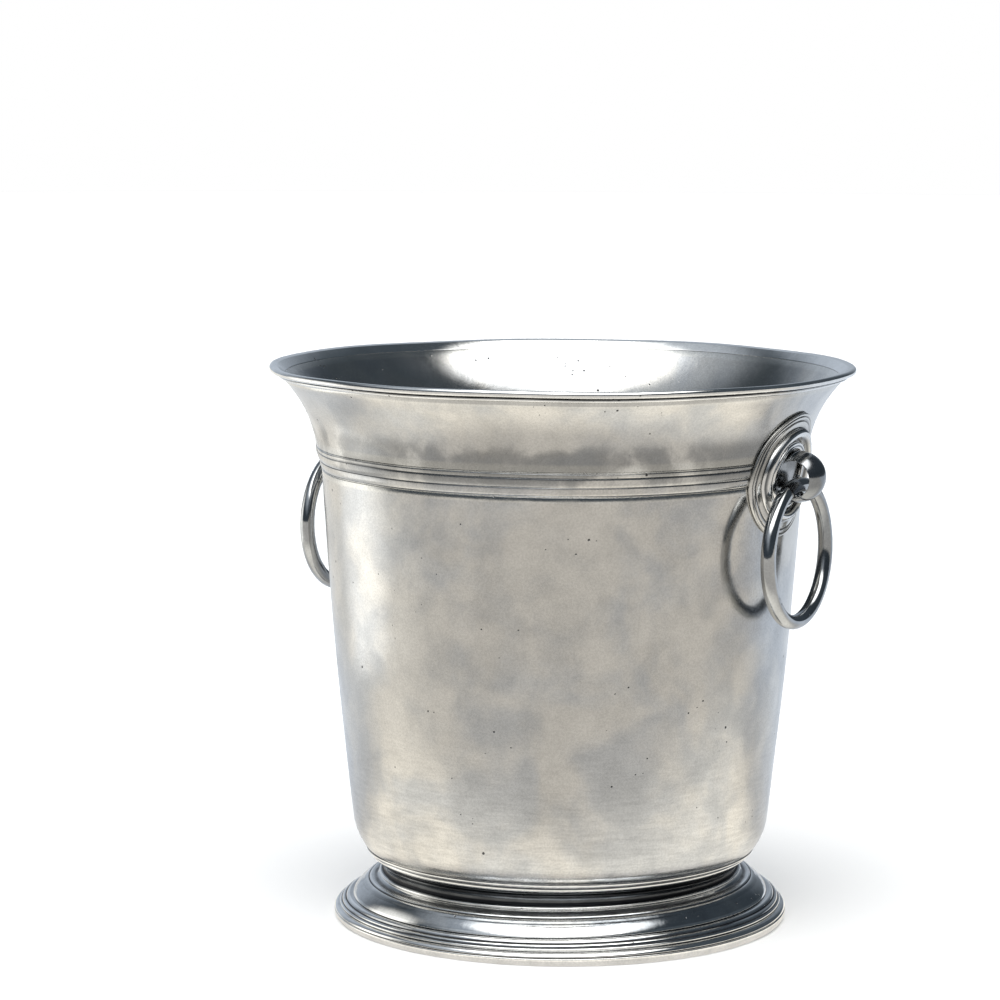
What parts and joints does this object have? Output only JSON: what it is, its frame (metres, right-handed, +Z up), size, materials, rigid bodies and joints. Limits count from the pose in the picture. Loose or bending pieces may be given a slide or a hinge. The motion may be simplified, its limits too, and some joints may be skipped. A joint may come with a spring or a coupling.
{
  "type": "champagne bucket",
  "caption": "Tapered pewter wine-cooling bucket with a flared mouth, a reeded band, a moulded foot and a hanging ring handle on each side.",
  "frame": {"origin": "middle of the foot's underside, on the bucket's vertical axis, at the height of the surface it stands on", "axes": "+Z up along the bucket's axis; +X through the right handle's eye and -X through the left one's, so each ring swings about an axis along Y"},
  "size_m": [0.222, 0.222, 0.213],
  "materials": {
    "burnished_pewter": "softly burnished pewter, clouded by age, with fine turning lines and small pits",
    "polished_pewter": "polished pewter with dark patina left in its grooves"
  },
  "bodies": {
    "bucket": {"bowl_wall": "burnished_pewter", "bowl_floor": "burnished_pewter", "mouth_flare": "burnished_pewter", "reeded_band": "burnished_pewter", "rim_bead": "polished_pewter", "foot_neck": "polished_pewter", "foot_dome": "polished_pewter", "foot_step": "polished_pewter", "foot_base": "polished_pewter", "right_escutcheon": "burnished_pewter", "right_boss": "polished_pewter", "right_collar": "polished_pewter", "right_eye_knob": "polished_pewter", "left_escutcheon": "burnished_pewter", "left_boss": "polished_pewter", "left_collar": "polished_pewter", "left_eye_knob": "polished_pewter"},
    "right_handle": {"right_ring": "polished_pewter"},
    "left_handle": {"left_ring": "polished_pewter"}
  },
  "joints": [
    {"name": "right_ring_swing", "type": "hinge", "parent": "bucket", "child": "right_handle", "pos_m": [0.0986, 0, 0.1725], "axis": [0, -1, 0], "range_deg": [-8, 140]},
    {"name": "left_ring_swing", "type": "hinge", "parent": "bucket", "child": "left_handle", "pos_m": [-0.0986, 0, 0.1725], "axis": [0, 1, 0], "range_deg": [-8, 140]}
  ]
}
